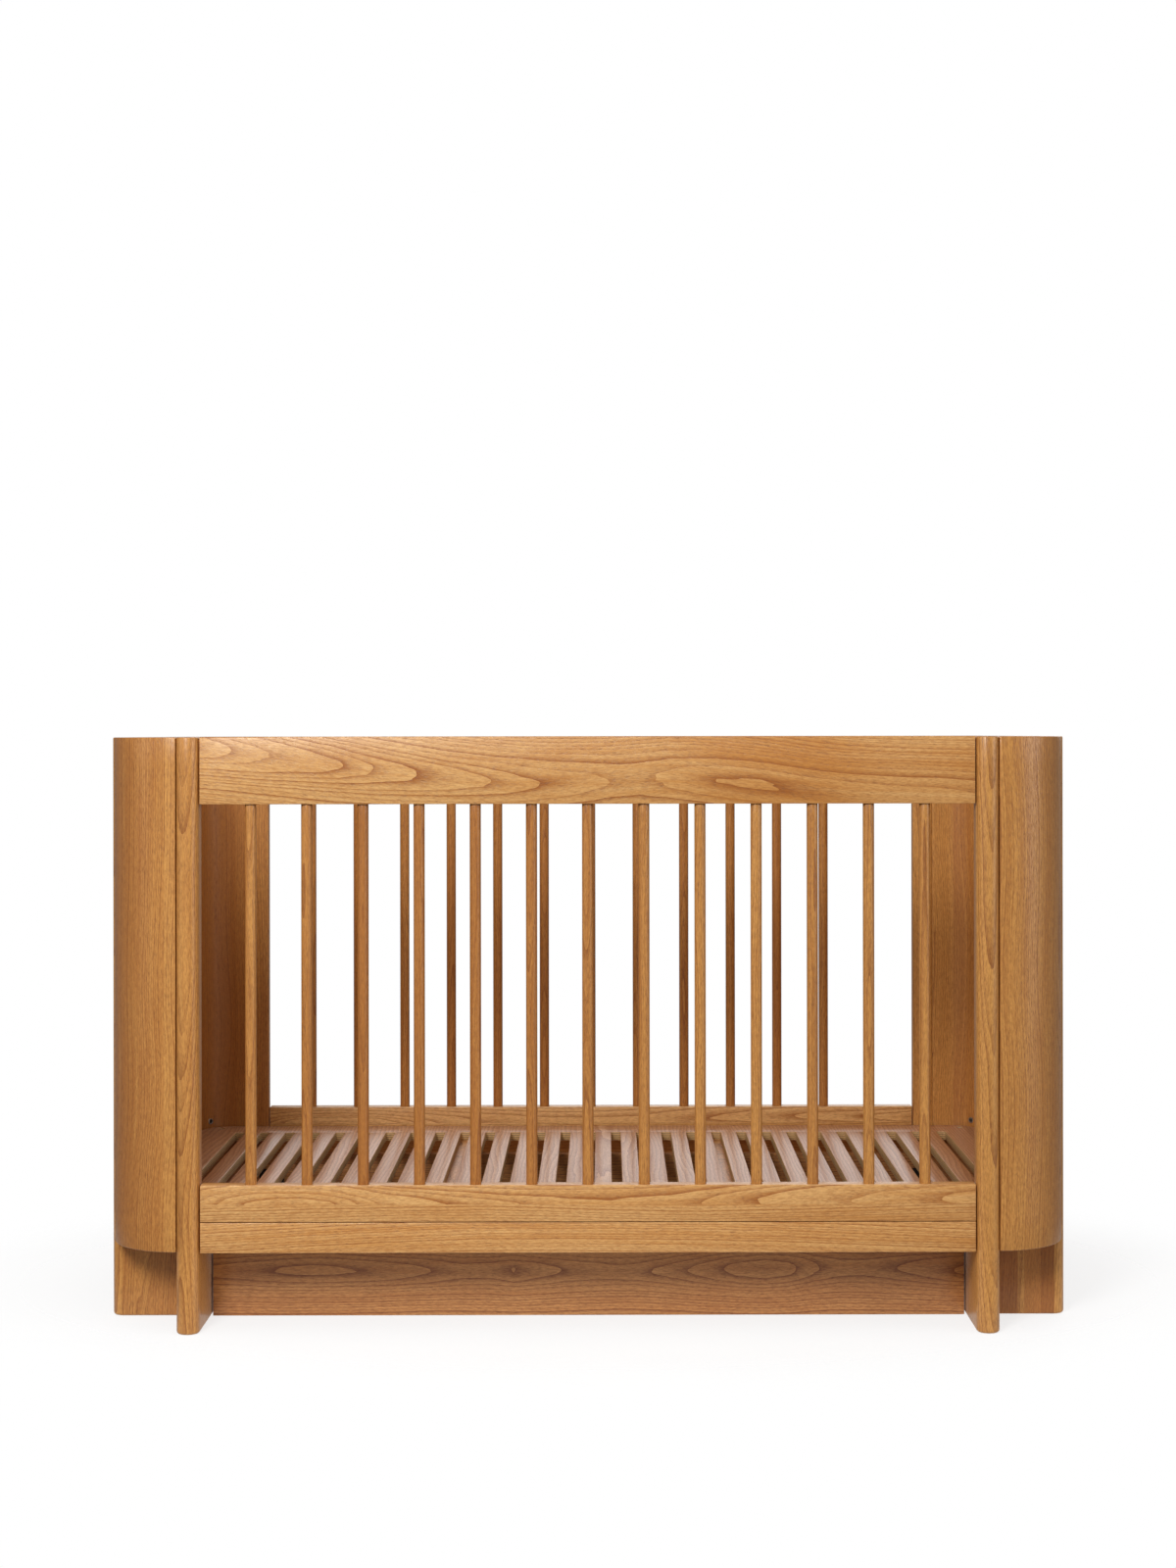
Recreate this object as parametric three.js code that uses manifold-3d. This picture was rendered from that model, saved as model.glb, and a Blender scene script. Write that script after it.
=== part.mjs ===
// Wooden cot with barred long sides, quarter-round corner shells, a slotted
// mattress base and a recessed plinth. Millimetres, +Z up, front towards -Y.
// The origin is on the floor, under the middle of the cot.

import * as THREE from 'three';
import { mergeVertices } from 'three/addons/utils/BufferGeometryUtils.js';
import Module from 'manifold-3d';

const wasm = await Module();
wasm.setup();

// Overall sizes
const HALF_LENGTH = 742;
const HALF_DEPTH = 388;
const HEIGHT = 900;
const GAP = 0.3;

// Posts: bullnosed boards that stand out past the walls on all four sides
const POST_THICK = 35;
const WALL_SETBACK = 8;
const WALL_THICK = 28;
const POST_DEPTH = WALL_SETBACK + WALL_THICK;
const FOOT_DEPTH = 120;
const FOOT_TOP = 158;
const POST_INNER_X = 587;
const POST_OUTER_X = POST_INNER_X + POST_THICK;
const END_POST_FRONT_Y = -HALF_DEPTH + FOOT_DEPTH;
const END_POST_BACK_Y = END_POST_FRONT_Y + POST_THICK;
const NOSE_RADIUS = 17.2;
const NOSE_STEPS = 5;

// Corner shells and end panels
const SHELL_OUTER_RADIUS = FOOT_DEPTH - WALL_SETBACK;
const SHELL_INNER_RADIUS = 55;
const WALL_BOTTOM = 123;
const WALL_OUTER_X = HALF_LENGTH - WALL_SETBACK;
const WALL_INNER_X = HALF_LENGTH - POST_DEPTH;
const WALL_OUTER_Y = HALF_DEPTH - WALL_SETBACK;
const WALL_INNER_Y = HALF_DEPTH - POST_DEPTH;
const SHELL_OUTER_STEPS = 20;
const SHELL_INNER_STEPS = 10;

// Threaded-insert holes low inside each corner shell
const INSERT_RADIUS = 4.2;
const INSERT_DEPTH = 10;
const INSERT_Z = 202;
const INSERT_SIDES = 12;

// Rails and aprons of the long sides
const RAIL_THICK = 24;
const RAIL_EDGE_RADIUS = 3;
const RAIL_END_GAP = 1.6;
const TOP_RAIL_BOTTOM = 799;
const BOTTOM_RAIL_BOTTOM = 168.8;
const BOTTOM_RAIL_TOP = 224;
const APRON_BOTTOM = 122;
const APRON_TOP = 167.5;
const APRON_EDGE_RADIUS = 1.5;
const EDGE_STEPS = 3;

// Bars
const BAR_COUNT = 13;
const BAR_PITCH = 85;
const BAR_RADIUS = 8.5;
const BAR_CHAMFER = 1;
const BAR_SIDES = 16;
const BORE_DEPTH = 15;
const BORE_CLEARANCE = 0.5;

// Slotted mattress base and its battens
const BASE_TOP = 191;
const BASE_THICK = 15;
const BASE_HALF_X = 703;
const BASE_HALF_Y = 349;
const BASE_CORNER_RADIUS = 53;
const BASE_CORNER_STEPS = 8;
const SLOT_COUNT = 29;
const SLOT_PITCH = 44.8;
const SLOT_WIDTH = 17;
const SLOT_HALF_LENGTH = 281.5;
const SLOT_CORNER_RADIUS = 4;
const SLOT_CORNER_STEPS = 2;
const SCREW_X = 667;
const SCREW_Y = 323;
const SCREW_RECESS_RADIUS = 6;
const SCREW_RECESS_DEPTH = 2;
const SCREW_RECESS_SIDES = 16;
const BATTEN_TOP = BASE_TOP - BASE_THICK - GAP;
const BATTEN_BOTTOM = FOOT_TOP + GAP;
const MID_BATTEN_X = 5 * SLOT_PITCH;
const MID_BATTEN_WIDTH = 52;
const MID_BATTEN_HALF_Y = 328;
const END_BATTEN_X = 665;
const END_BATTEN_WIDTH = 50;
const END_BATTEN_HALF_Y = 331;

// Plinth panels and the angle brackets behind the long ones
const PLINTH_THICK = 20;
const PLINTH_END_GAP = 2.3;
const PLINTH_HALF_X = POST_INNER_X - PLINTH_END_GAP;
const BRACKET_LEG = 42;
const BRACKET_FLANGE = 13;
const BRACKET_PLATE = 2;
const BRACKET_BOTTOM = 102;
const BRACKET_TOP = 132;

// Colours
const OAK = 0xb9824f;
const OAK_LIGHT = 0xc8935b;
const OAK_DARK = 0x8f6441;
const PLY = 0x98725a;
const STEEL_DARK = 0x2b2a29;

const wood = (color, roughness = 0.55) => new THREE.MeshStandardMaterial({ color, roughness, metalness: 0 });
const steel = () => new THREE.MeshStandardMaterial({ color: STEEL_DARK, roughness: 0.45, metalness: 0.9 });

// A closed three.js geometry as a solid that can be joined and cut.
function solid(geometry) {
  const plain = geometry.index ? geometry.toNonIndexed() : geometry;
  plain.deleteAttribute('normal');
  plain.deleteAttribute('uv');
  const merged = mergeVertices(plain, 1e-4);
  return new wasm.Manifold(new wasm.Mesh({
    numProp: 3,
    vertProperties: new Float32Array(merged.attributes.position.array),
    triVerts: new Uint32Array(merged.index.array),
  }));
}

// A joined or cut solid back as a three.js geometry.
function geometryOf(body) {
  const mesh = body.getMesh();
  const indexed = new THREE.BufferGeometry();
  indexed.setAttribute('position', new THREE.BufferAttribute(new Float32Array(mesh.vertProperties), 3));
  indexed.setIndex(new THREE.BufferAttribute(new Uint32Array(mesh.triVerts), 1));
  const flat = indexed.toNonIndexed();
  flat.computeVertexNormals();
  return flat;
}

// A plan outline raised from one height to another.
function raise(shape, bottom, top) {
  const geometry = new THREE.ExtrudeGeometry(shape, { depth: top - bottom, bevelEnabled: false, steps: 1 });
  return geometry.translate(0, 0, bottom);
}

// A box between two corners.
function block(x0, x1, y0, y1, z0, z1) {
  const geometry = new THREE.BoxGeometry(x1 - x0, y1 - y0, z1 - z0);
  return geometry.translate((x0 + x1) / 2, (y0 + y1) / 2, (z0 + z1) / 2);
}

// Points of an arc, both ends included.
function arc(cx, cy, radius, from, to, steps) {
  const points = [];
  for (let i = 0; i <= steps; i += 1) {
    const angle = from + ((to - from) * i) / steps;
    points.push(new THREE.Vector2(cx + radius * Math.cos(angle), cy + radius * Math.sin(angle)));
  }
  return points;
}

// A rectangle with rounded corners, centred on the origin.
function roundedRectangle(halfX, halfY, radius, steps) {
  const quarter = Math.PI / 2;
  return new THREE.Shape([
    ...arc(halfX - radius, halfY - radius, radius, 0, quarter, steps),
    ...arc(-halfX + radius, halfY - radius, radius, quarter, 2 * quarter, steps),
    ...arc(-halfX + radius, -halfY + radius, radius, 2 * quarter, 3 * quarter, steps),
    ...arc(halfX - radius, -halfY + radius, radius, 3 * quarter, 4 * quarter, steps),
  ]);
}

// A board seen in plan: full bullnose at y = 0, square at y = length.
function nosedPlan(length) {
  const half = POST_THICK / 2;
  return new THREE.Shape([
    ...arc(half - NOSE_RADIUS, NOSE_RADIUS, NOSE_RADIUS, -Math.PI / 2, 0, NOSE_STEPS),
    new THREE.Vector2(half, length),
    new THREE.Vector2(-half, length),
    ...arc(-half + NOSE_RADIUS, NOSE_RADIUS, NOSE_RADIUS, -Math.PI, -Math.PI / 2, NOSE_STEPS),
  ]);
}

// A post: upright nosed board with a deeper foot. The nose points to -Y.
function postSolid(footLength) {
  const upright = solid(raise(nosedPlan(POST_DEPTH), 0, HEIGHT));
  const foot = solid(raise(nosedPlan(footLength), 0, FOOT_TOP));
  return upright.add(foot);
}

// Corner shell in the +X, -Y quarter, between the two posts.
function shellSolid() {
  const cx = POST_OUTER_X;
  const cy = END_POST_FRONT_Y;
  const startX = cx + GAP;
  const startY = cy - GAP;
  const outer = arc(cx, cy, SHELL_OUTER_RADIUS, -Math.PI / 2, 0, SHELL_OUTER_STEPS)
    .map((p) => new THREE.Vector2(Math.max(p.x, startX), Math.min(p.y, startY)));
  const innerX = WALL_INNER_X - SHELL_INNER_RADIUS;
  const innerY = -WALL_INNER_Y + SHELL_INNER_RADIUS;
  const inner = arc(innerX, innerY, SHELL_INNER_RADIUS, 0, -Math.PI / 2, SHELL_INNER_STEPS);
  const outline = new THREE.Shape([
    ...outer,
    new THREE.Vector2(WALL_INNER_X, startY),
    ...inner,
    new THREE.Vector2(startX, -WALL_INNER_Y),
  ]);
  const hole = new THREE.CylinderGeometry(INSERT_RADIUS, INSERT_RADIUS, 2 * INSERT_DEPTH, INSERT_SIDES);
  hole.rotateZ(Math.PI / 4);
  const reach = SHELL_INNER_RADIUS * Math.SQRT1_2;
  hole.translate(innerX + reach, innerY - reach, INSERT_Z);
  return solid(raise(outline, WALL_BOTTOM, HEIGHT)).subtract(solid(hole));
}

// Distances of evenly spaced things from the middle.
function spread(count, pitch) {
  return Array.from({ length: count }, (_, i) => (i - (count - 1) / 2) * pitch);
}

// Board of a long side, along X, with rounded long edges.
function railGeometry(bottom, top, radius) {
  const section = roundedRectangle(RAIL_THICK / 2, (top - bottom) / 2, radius, EDGE_STEPS);
  const halfLength = POST_INNER_X - RAIL_END_GAP;
  const geometry = raise(section, -halfLength, halfLength);
  geometry.rotateX(Math.PI / 2);
  geometry.rotateZ(Math.PI / 2);
  return geometry.translate(0, 0, (bottom + top) / 2);
}

// The same board with a blind bore for each bar in the edge at the given height.
function boredRailGeometry(bottom, top, edge) {
  const radius = BAR_RADIUS + BORE_CLEARANCE;
  const rail = spread(BAR_COUNT, BAR_PITCH).reduce((board, x) => {
    const bore = new THREE.CylinderGeometry(radius, radius, 2 * BORE_DEPTH, BAR_SIDES);
    bore.rotateX(Math.PI / 2);
    bore.translate(x, 0, edge);
    return board.subtract(solid(bore));
  }, solid(railGeometry(bottom, top, RAIL_EDGE_RADIUS)));
  return geometryOf(rail);
}

// One round bar with chamfered ends.
function barGeometry() {
  const bottom = BOTTOM_RAIL_TOP - BORE_DEPTH + GAP;
  const top = TOP_RAIL_BOTTOM + BORE_DEPTH - GAP;
  const profile = [
    new THREE.Vector2(0, bottom),
    new THREE.Vector2(BAR_RADIUS - BAR_CHAMFER, bottom),
    new THREE.Vector2(BAR_RADIUS, bottom + BAR_CHAMFER),
    new THREE.Vector2(BAR_RADIUS, top - BAR_CHAMFER),
    new THREE.Vector2(BAR_RADIUS - BAR_CHAMFER, top),
    new THREE.Vector2(0, top),
  ];
  const lathe = new THREE.LatheGeometry(profile, BAR_SIDES);
  lathe.rotateX(Math.PI / 2);
  return geometryOf(solid(lathe));
}

// The slotted platform with countersinks at its corners.
function baseSolid() {
  const outline = roundedRectangle(BASE_HALF_X, BASE_HALF_Y, BASE_CORNER_RADIUS, BASE_CORNER_STEPS);
  for (const x of spread(SLOT_COUNT, SLOT_PITCH)) {
    const slot = roundedRectangle(SLOT_WIDTH / 2, SLOT_HALF_LENGTH, SLOT_CORNER_RADIUS, SLOT_CORNER_STEPS);
    const moved = slot.getPoints().map((p) => new THREE.Vector2(p.x + x, p.y));
    outline.holes.push(new THREE.Path(moved));
  }
  let board = solid(raise(outline, BASE_TOP - BASE_THICK, BASE_TOP));
  for (const x of [-SCREW_X, SCREW_X]) {
    for (const y of [-SCREW_Y, SCREW_Y]) {
      const recess = new THREE.CylinderGeometry(
        SCREW_RECESS_RADIUS,
        SCREW_RECESS_RADIUS,
        2 * SCREW_RECESS_DEPTH,
        SCREW_RECESS_SIDES,
      );
      recess.rotateX(Math.PI / 2);
      recess.translate(x, y, BASE_TOP);
      board = board.subtract(solid(recess));
    }
  }
  return board;
}

// Angle bracket behind the front plinth, at its right-hand end.
function bracketGeometry() {
  const inner = END_POST_FRONT_Y + PLINTH_THICK + GAP;
  const end = POST_INNER_X - GAP;
  const outline = new THREE.Shape([
    new THREE.Vector2(end - BRACKET_LEG, inner),
    new THREE.Vector2(end, inner),
    new THREE.Vector2(end, inner + BRACKET_FLANGE),
    new THREE.Vector2(end - BRACKET_PLATE, inner + BRACKET_FLANGE),
    new THREE.Vector2(end - BRACKET_PLATE, inner + BRACKET_PLATE),
    new THREE.Vector2(end - BRACKET_LEG, inner + BRACKET_PLATE),
  ]);
  return raise(outline, BRACKET_BOTTOM, BRACKET_TOP);
}

// The same shape on another side of the middle, still facing out: signs of X and Y.
function mirrored(geometry, signX, signY) {
  const copy = geometry.index ? geometry.toNonIndexed() : geometry.clone();
  copy.scale(signX, signY, 1);
  const position = copy.attributes.position;
  if (signX * signY < 0) {
    const second = new THREE.Vector3();
    const third = new THREE.Vector3();
    for (let i = 0; i < position.count; i += 3) {
      second.fromBufferAttribute(position, i + 1);
      third.fromBufferAttribute(position, i + 2);
      position.setXYZ(i + 1, third.x, third.y, third.z);
      position.setXYZ(i + 2, second.x, second.y, second.z);
    }
  }
  copy.computeVertexNormals();
  return copy;
}

const cot = new THREE.Group();
cot.name = 'cot';

function add(name, geometry, material, parent = cot) {
  const mesh = new THREE.Mesh(geometry, material);
  mesh.name = name;
  parent.add(mesh);
  return mesh;
}

// Long sides
const topRail = boredRailGeometry(TOP_RAIL_BOTTOM, HEIGHT, TOP_RAIL_BOTTOM);
const bottomRail = boredRailGeometry(BOTTOM_RAIL_BOTTOM, BOTTOM_RAIL_TOP, BOTTOM_RAIL_TOP);
const apron = railGeometry(APRON_BOTTOM, APRON_TOP, APRON_EDGE_RADIUS);
const bar = barGeometry();
const railY = WALL_OUTER_Y - RAIL_THICK / 2;
for (const [side, y] of [['front', -railY], ['rear', railY]]) {
  const frame = new THREE.Group();
  frame.name = `${side}_side`;
  frame.position.y = y;
  cot.add(frame);
  add(`${side}_top_rail`, topRail.clone(), wood(OAK_LIGHT), frame);
  add(`${side}_bottom_rail`, bottomRail.clone(), wood(OAK_LIGHT), frame);
  add(`${side}_apron`, apron.clone(), wood(OAK), frame);
  spread(BAR_COUNT, BAR_PITCH).forEach((x, i) => {
    const number = String(i + 1).padStart(2, '0');
    add(`${side}_bar_${number}`, bar.clone(), wood(OAK), frame).position.x = x;
  });
}

// Corners: two posts and a shell at each
const sidePost = geometryOf(postSolid(FOOT_DEPTH - GAP));
sidePost.translate(POST_INNER_X + POST_THICK / 2, -HALF_DEPTH, 0);
const endPost = geometryOf(postSolid(HALF_LENGTH - POST_INNER_X));
endPost.rotateZ(Math.PI / 2);
endPost.translate(HALF_LENGTH, END_POST_FRONT_Y + POST_THICK / 2, 0);
const shell = geometryOf(shellSolid());
const bracket = bracketGeometry();
for (const [end, signX] of [['left', -1], ['right', 1]]) {
  for (const [side, signY] of [['front', 1], ['rear', -1]]) {
    const corner = `${side}_${end}`;
    add(`${corner}_post`, mirrored(sidePost, signX, signY), wood(OAK));
    add(`${corner}_end_post`, mirrored(endPost, signX, signY), wood(OAK));
    add(`${corner}_shell`, mirrored(shell, signX, signY), wood(OAK));
    add(`${corner}_bracket`, mirrored(bracket, signX, signY), steel());
  }
}

// Ends
const endHalfY = -END_POST_BACK_Y - GAP;
const endPanel = block(WALL_INNER_X, WALL_OUTER_X, -endHalfY, endHalfY, WALL_BOTTOM, HEIGHT);
const endPlinth = block(POST_OUTER_X - PLINTH_THICK, POST_OUTER_X, -endHalfY, endHalfY, 0, FOOT_TOP);
const endBatten = block(
  END_BATTEN_X - END_BATTEN_WIDTH / 2,
  END_BATTEN_X + END_BATTEN_WIDTH / 2,
  -END_BATTEN_HALF_Y,
  END_BATTEN_HALF_Y,
  BATTEN_BOTTOM,
  BATTEN_TOP,
);
const midBatten = block(
  MID_BATTEN_X - MID_BATTEN_WIDTH / 2,
  MID_BATTEN_X + MID_BATTEN_WIDTH / 2,
  -MID_BATTEN_HALF_Y,
  MID_BATTEN_HALF_Y,
  BATTEN_BOTTOM,
  BATTEN_TOP,
);
for (const [side, turn] of [['left', Math.PI], ['right', 0]]) {
  add(`${side}_end_panel`, endPanel.clone(), wood(OAK)).rotation.z = turn;
  add(`${side}_end_plinth`, endPlinth.clone(), wood(OAK_DARK)).rotation.z = turn;
  add(`${side}_end_batten`, endBatten.clone(), wood(OAK_DARK)).rotation.z = turn;
  add(`${side}_mid_batten`, midBatten.clone(), wood(OAK_DARK)).rotation.z = turn;
}

// Long plinth panels
const longPlinth = block(
  -PLINTH_HALF_X,
  PLINTH_HALF_X,
  END_POST_FRONT_Y,
  END_POST_FRONT_Y + PLINTH_THICK,
  0,
  FOOT_TOP,
);
add('front_plinth', longPlinth.clone(), wood(OAK_DARK));
add('rear_plinth', longPlinth.clone(), wood(OAK_DARK)).rotation.z = Math.PI;

// Mattress base
add('mattress_base', geometryOf(baseSolid()), wood(PLY, 0.5));

export default cot;
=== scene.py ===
"""Oak cot: bullnosed posts, quarter-round corner shells, barred sides, slotted base and recessed plinth."""

import bmesh
import bpy
import math
import random
from mathutils import Matrix, Vector


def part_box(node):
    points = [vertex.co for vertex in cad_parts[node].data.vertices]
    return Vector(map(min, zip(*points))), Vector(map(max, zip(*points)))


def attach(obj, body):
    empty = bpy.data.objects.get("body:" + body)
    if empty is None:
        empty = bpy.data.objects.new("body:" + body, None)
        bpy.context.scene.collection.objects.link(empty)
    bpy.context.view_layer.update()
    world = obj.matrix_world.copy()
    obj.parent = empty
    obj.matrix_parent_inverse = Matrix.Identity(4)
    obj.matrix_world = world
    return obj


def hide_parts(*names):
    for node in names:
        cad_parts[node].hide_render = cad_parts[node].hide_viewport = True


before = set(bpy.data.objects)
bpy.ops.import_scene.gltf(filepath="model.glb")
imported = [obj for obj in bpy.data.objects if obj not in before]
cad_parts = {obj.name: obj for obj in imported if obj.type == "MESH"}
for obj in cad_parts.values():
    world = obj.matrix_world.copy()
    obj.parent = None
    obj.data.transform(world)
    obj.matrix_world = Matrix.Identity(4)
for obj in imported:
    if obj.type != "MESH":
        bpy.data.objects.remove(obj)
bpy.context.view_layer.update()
rng = random.Random(41)

MM = 0.001
TINY = 1e-5
FRAME_BODY = "frame"
SIDE_BODY = "front_side"

# Shape details
NOSE_RADIUS = 17.2 * MM
NOSE_STEPS = 8
EDGE_ROUND = 0.8 * MM
POST_ROUND = 1.8 * MM
FOOT_ROUND = 4.2 * MM
SHELL_ROUND = 1.6 * MM
TIGHT_JOINT = 0.3 * MM
JOINT_FILL = 0.25 * MM
EDGE_STEPS = 3
SHARP_ANGLE = 40
POST_SLICES = 18
RAIL_SLICES = 30
SHELL_INNER_RADIUS = 55 * MM
SHELL_WALL = 28 * MM
SHELL_STEPS = 30
BAR_SIDES = 40
BORE_SIDES = 32
BORE_RADIUS = 9.1 * MM
BORE_DEPTH = 15 * MM
INSERT_Z = 202 * MM
INSERT_RADIUS = 4.2 * MM
BASE_CORNER = 53 * MM
SLOT_COUNT = 29
SLOT_PITCH = 44.8 * MM
SLOT_WIDTH = 17 * MM
SLOT_HALF_LENGTH = 281.5 * MM
SLOT_CORNER = 4 * MM
SCREW_PLACE = (667 * MM, 323 * MM)
POST_DEPTH = 36 * MM
FOOT_TOP = 158 * MM

# Threaded inserts in the shells, and how far their hole's cutter reaches each way
HOLE_REACH = 10 * MM
HOLE_SIDES = 24
FLANGE_RADIUS = 5.4 * MM
FLANGE_PROUD = 0.6 * MM
FLANGE_SUNK = 0.3 * MM
FLANGE_RING = 1.3 * MM
SLEEVE_LENGTH = 8.5 * MM
SLEEVE_RING = 2.1 * MM
SLEEVE_BORE = 7.8 * MM
ROUND_SIDES = 28

# Base screws and the recesses that they sit in
SCREW_RADIUS = 5.7 * MM
SCREW_FOOT = 4.5 * MM
SCREW_SUNK = 0.9 * MM
SCREW_RING = 3.2 * MM
SCREW_SOCKET = 2.2 * MM
RECESS_RADIUS = 6 * MM
RECESS_REACH = 5 * MM

# Angle brackets: plate thickness, and two screw heads at shares of the plate's length
PLATE = 2 * MM
HEAD_PLACES = (0.25, 0.62)
HEAD_RADIUS = 3.6 * MM
HEAD_BACK = 0.5 * MM
HEAD_PROUD = 2.2 * MM
HEAD_RING = 1.6 * MM
HEAD_SOCKET = 1.2 * MM


# ---------------------------------------------------------------- modelling
def clear_selection():
    for thing in bpy.context.selected_objects:
        thing.select_set(False)


def take(piece):
    """Makes one piece the only selected and active one."""
    clear_selection()
    piece.select_set(True)
    bpy.context.view_layer.objects.active = piece


def named(name):
    """The object an add operator has just made, with its place put into its mesh."""
    piece = bpy.context.object
    piece.name = name
    piece.data.name = name
    bpy.ops.object.transform_apply(location=True, rotation=True, scale=True)
    return piece


def block(name, low, high):
    clear_selection()
    low, high = Vector(low), Vector(high)
    bpy.ops.mesh.primitive_cube_add(size=1, location=(low + high) / 2, scale=high - low)
    return named(name)


def rod(name, start, end, radius, sides):
    """A round rod between two points."""
    clear_selection()
    start, end = Vector(start), Vector(end)
    turn = (end - start).to_track_quat("Z", "Y").to_euler()
    bpy.ops.mesh.primitive_cylinder_add(
        vertices=sides, radius=radius, depth=(end - start).length, location=(start + end) / 2, rotation=turn
    )
    return named(name)


def edit(piece, kind, test, work):
    """Selects the faces or edges of a piece that pass the test, then works on them in edit mode."""
    take(piece)
    bpy.ops.object.mode_set(mode="EDIT")
    bpy.ops.mesh.select_mode(type="FACE" if kind == "faces" else "EDGE")
    bpy.ops.mesh.select_all(action="DESELECT")
    cage = bmesh.from_edit_mesh(piece.data)
    for part in getattr(cage, kind):
        if test(part):
            part.select_set(True)
    bmesh.update_edit_mesh(piece.data)
    work()
    bpy.ops.object.mode_set(mode="OBJECT")


def round_edges(piece, test, radius, steps):
    edit(piece, "edges", test, lambda: bpy.ops.mesh.bevel(
        offset=radius, segments=steps, affect="EDGES", clamp_overlap=False
    ))


def soften(piece, radius=EDGE_ROUND, steps=EDGE_STEPS, angle=SHARP_ANGLE):
    """Rounds every sharp edge that is left, and shades the piece smoothly."""
    take(piece)
    bevel = piece.modifiers.new("rounding", "BEVEL")
    bevel.width = radius
    bevel.segments = steps
    bevel.limit_method = "ANGLE"
    bevel.angle_limit = math.radians(angle)
    bevel.miter_outer = "MITER_ARC"
    bpy.ops.object.modifier_apply(modifier=bevel.name)
    bpy.ops.object.shade_smooth_by_angle(angle=math.radians(angle))


def cut(piece, cutter):
    take(piece)
    hole = piece.modifiers.new("cut", "BOOLEAN")
    hole.operation = "DIFFERENCE"
    hole.solver = "EXACT"
    hole.object = cutter
    bpy.ops.object.modifier_apply(modifier=hole.name)
    bpy.data.objects.remove(cutter)


def copied(piece, name, move=(0, 0, 0), flip_x=False, flip_y=False):
    """A copy with its own mesh, moved or mirrored about the middle of the cot."""
    twin = piece.copy()
    twin.data = piece.data.copy()
    twin.name = twin.data.name = name
    bpy.context.collection.objects.link(twin)
    change = Matrix.Diagonal((-1 if flip_x else 1, -1 if flip_y else 1, 1, 1))
    twin.data.transform(change @ Matrix.Translation(move))
    if flip_x != flip_y:
        twin.data.flip_normals()
    return twin


def joined(piece, extras):
    """One piece out of several; the extras keep their own finishes."""
    take(piece)
    for extra in extras:
        extra.select_set(True)
    bpy.ops.object.join()
    return piece


def sliced(piece, axis, count):
    """Adds even cross lines along a piece, so that its grain can curve."""
    low = min(v.co[axis] for v in piece.data.vertices)
    high = max(v.co[axis] for v in piece.data.vertices)
    way = [0, 0, 0]
    way[axis] = 1
    for i in range(1, count):
        spot = [0, 0, 0]
        spot[axis] = low + (high - low) * i / count
        edit(piece, "faces", lambda f: True, lambda: bpy.ops.mesh.bisect(plane_co=spot, plane_no=way))
    return piece


def upright(edge):
    a, b = (v.co for v in edge.verts)
    return abs(a.x - b.x) < TINY and abs(a.y - b.y) < TINY


def level(edge, height):
    """Whether an edge lies at a height and turns a corner there."""
    flat = all(abs(v.co.z - height) < TINY for v in edge.verts)
    return flat and edge.calc_face_angle(0.0) > 0.6


# ------------------------------------------------------------------- wood lay
def note(piece, name, kind, field, values):
    """Writes one value for each point of a piece."""
    piece.data.attributes.new(name, kind, "POINT").data.foreach_set(field, values)


def lay(piece, along, across, through, heart, staves=None, tone=0.5, run=None):
    """Tells a piece how it lies in its log: grain vector, stave number across it, and tone.

    along, across and through give those distances for a point. heart gives the place of the log's
    heart, across and through, for a distance along. staves are the places of the glue lines.
    """
    run = rng.uniform(0, 9) if run is None else run
    grain, numbers, tones = [], [], []
    for vertex in piece.data.vertices:
        p = vertex.co
        far = along(p)
        middle = heart(far)
        grain += (across(p) - middle[0], through(p) - middle[1], far + run)
        numbers.append(stave_number(across(p), staves) if staves else 0.5)
        tones.append(tone(p) if callable(tone) else tone)
    note(piece, "grain", "FLOAT_VECTOR", "vector", grain)
    note(piece, "stave", "FLOAT", "value", numbers)
    note(piece, "tone", "FLOAT", "value", tones)


def stave_number(place, lines):
    """Counts staves across a piece: a whole number at each glue line, even steps between."""
    last = len(lines) - 2
    i = max(0, min(last, sum(place >= line for line in lines) - 1))
    return i + 1 + (place - lines[i]) / (lines[i + 1] - lines[i])


def curve(points):
    """A smooth line through (place, value) points."""
    places = [point[0] for point in points]
    values = [point[1] for point in points]
    slopes = []
    for i in range(len(points)):
        j, k = max(i - 1, 0), min(i + 1, len(points) - 1)
        slopes.append((values[k] - values[j]) / (places[k] - places[j]))

    def value(place):
        i = max(0, min(len(points) - 2, sum(place >= x for x in places) - 1))
        span = places[i + 1] - places[i]
        t = max(0.0, min(1.0, (place - places[i]) / span))
        rise = values[i] * (1 - t) ** 2 * (1 + 2 * t) + values[i + 1] * t ** 2 * (3 - 2 * t)
        return rise + span * (slopes[i] * t * (1 - t) ** 2 - slopes[i + 1] * t ** 2 * (1 - t))

    return value


def wander(centre, depth, length, sideways=0.012, inward=0.008):
    """A heart that wanders a little along the log, from one random draw."""
    knots = [length * i / 5 for i in range(6)]
    side = curve([(knot, centre + rng.uniform(-sideways, sideways)) for knot in knots])
    deep = curve([(knot, depth + rng.uniform(-inward, inward)) for knot in knots])
    return lambda far: (side(far), deep(far))


X = lambda p: p.x
Y = lambda p: p.y
Z = lambda p: p.z


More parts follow.
